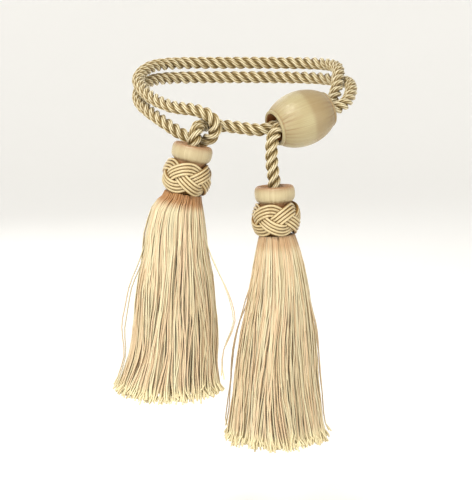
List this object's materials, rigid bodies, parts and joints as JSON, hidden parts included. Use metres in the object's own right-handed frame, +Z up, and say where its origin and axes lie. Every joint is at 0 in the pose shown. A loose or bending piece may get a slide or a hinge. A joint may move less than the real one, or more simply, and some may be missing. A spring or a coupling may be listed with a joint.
{
  "type": "curtain tieback with two tassels",
  "caption": "Twisted satin rope doubled into a loop through a thread-covered bead and its own bight, with a tassel on each end, to hold a gathered curtain.",
  "frame": {"origin": "where the back of the loop bears on the hook that holds it: on the inner face of the rope, midway between its two turns", "axes": "+Z up, the tassels hang towards -Z; -Y is the front, with the bead and the tassels; +X is to the right as seen from the front"},
  "size_m": [0.1614, 0.1482, 0.2518],
  "materials": {
    "rope_satin": "three-ply twisted satin rope in cream gold, soft sheen",
    "bead_thread": "satin thread laid lengthwise over a hard bead, broad sheen",
    "head_thread": "satin thread laid over a turned mould, soft sheen",
    "collar_cord": "braided fine satin cords",
    "skirt_thread": "loose rayon thread in champagne gold with tan shadows"
  },
  "bodies": {
    "root": {"rope": "rope_satin", "bead": "bead_thread", "head_left": "head_thread", "head_right": "head_thread", "collar_left": "collar_cord", "collar_right": "collar_cord", "skirt_left": "skirt_thread", "skirt_right": "skirt_thread"}
  },
  "joints": []
}
